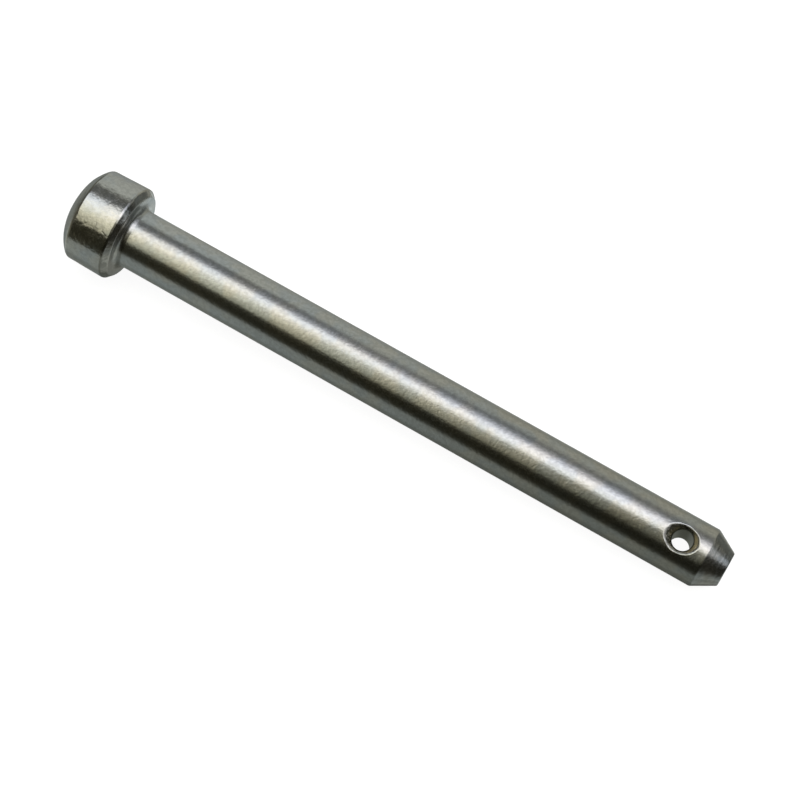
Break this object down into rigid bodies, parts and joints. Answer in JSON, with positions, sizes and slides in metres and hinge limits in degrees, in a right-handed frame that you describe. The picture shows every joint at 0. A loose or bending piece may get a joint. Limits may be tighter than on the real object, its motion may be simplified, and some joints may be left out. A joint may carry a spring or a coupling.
{
  "type": "hitch pin",
  "caption": "Straight steel hitch pin with a domed head, a pointed tip and a countersunk cross hole for a spring clip.",
  "frame": {"origin": "on the pin's axis, halfway between the top of the crown and the end of the tip", "axes": "+X along the pin's axis, from the head to the tip; +Z along the cross hole; +Y completes the right-handed set"},
  "size_m": [0.1894, 0.0258, 0.0258],
  "materials": {
    "zinc_plated_steel": "bright zinc plate over a turned shank and a forged head, semi-gloss"
  },
  "bodies": {
    "root": {"hitch_pin": "zinc_plated_steel"}
  },
  "joints": []
}
